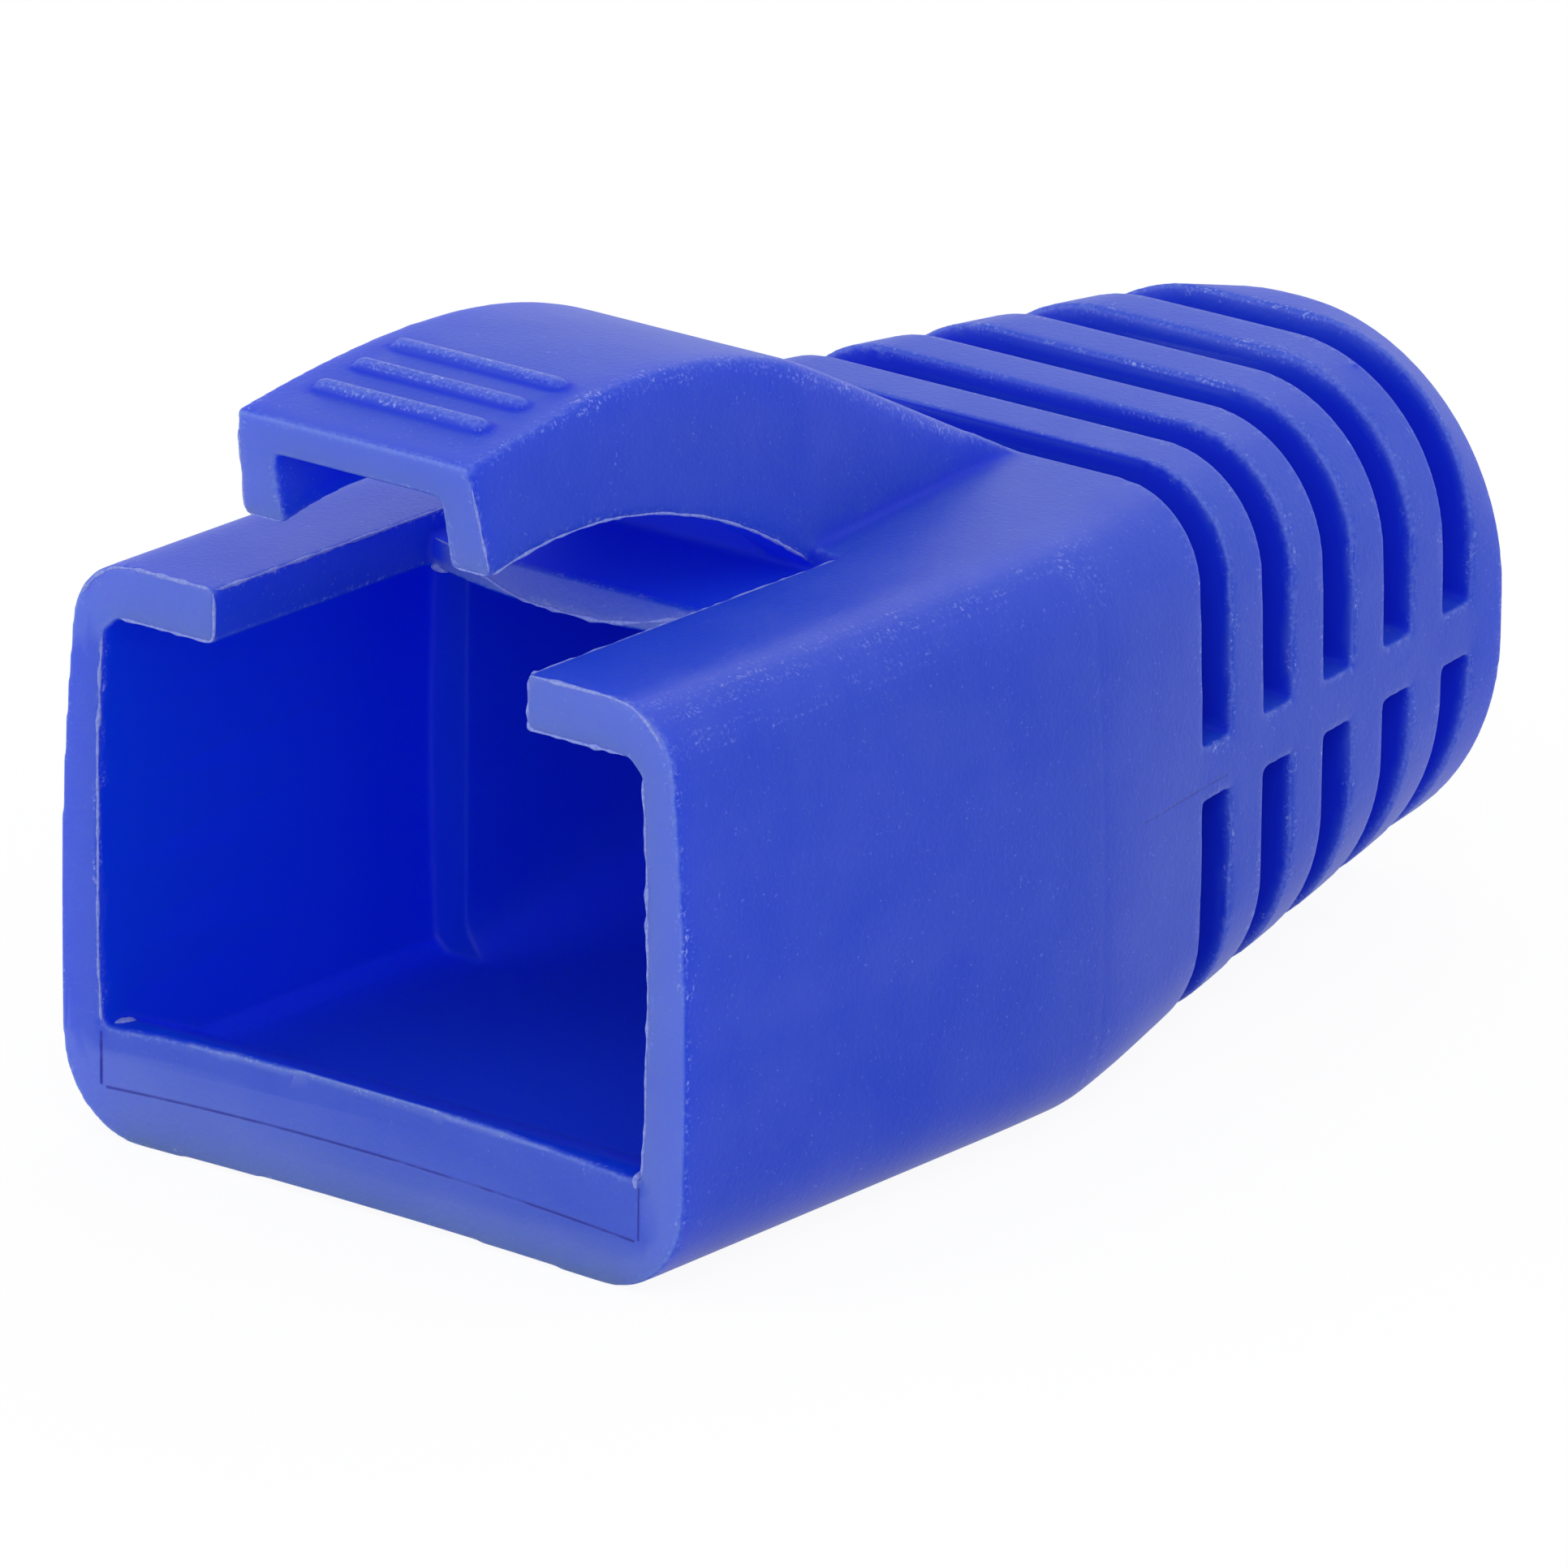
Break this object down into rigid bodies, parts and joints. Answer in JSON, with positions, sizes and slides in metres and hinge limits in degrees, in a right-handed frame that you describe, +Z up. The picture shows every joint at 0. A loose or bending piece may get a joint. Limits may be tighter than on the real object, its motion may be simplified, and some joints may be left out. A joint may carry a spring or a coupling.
{
  "type": "strain relief boot for a modular network plug",
  "caption": "One-piece soft plastic boot for a modular network plug, with a square hood, a raised latch guard and a slotted flexing sleeve for the cable.",
  "frame": {"origin": "middle of the mouth's plane across the width, on the cable's axis", "axes": "+Y along the cable's axis from the mouth to the sleeve's end, +Z up on the side of the plug's latch, +X to the right seen from the mouth's front"},
  "size_m": [0.014, 0.0263, 0.0147],
  "materials": {
    "boot_plastic": "matte moulded soft plastic, saturated blue, with a fine grain"
  },
  "bodies": {
    "root": {"boot": "boot_plastic"}
  },
  "joints": []
}
